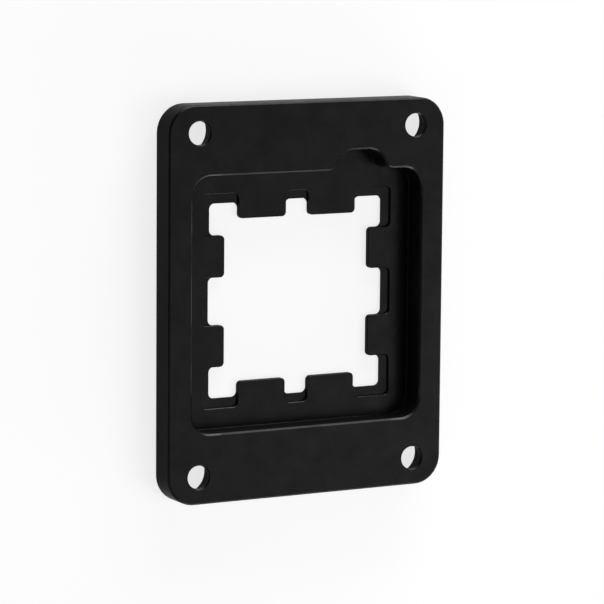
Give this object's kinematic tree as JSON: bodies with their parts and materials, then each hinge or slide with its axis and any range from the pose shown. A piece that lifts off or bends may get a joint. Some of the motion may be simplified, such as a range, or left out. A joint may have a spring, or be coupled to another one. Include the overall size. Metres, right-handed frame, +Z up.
{
  "type": "cpu socket retention frame",
  "caption": "Milled rectangular frame: a stepped pocket with a tabbed square window, a rounded relief beside it and a counterbored screw hole near each corner. Clamps a processor in its socket.",
  "frame": {"origin": "middle of the smooth outer face, the face that the frame lies on", "axes": "+X across the frame, +Y along it towards the end with the relief, +Z up, out of the pocket side"},
  "size_m": [0.0556, 0.071, 0.0055],
  "materials": {
    "anodised_aluminium": "black anodised over fine bead blasting, satin"
  },
  "bodies": {
    "root": {"retention_frame": "anodised_aluminium"}
  },
  "joints": []
}
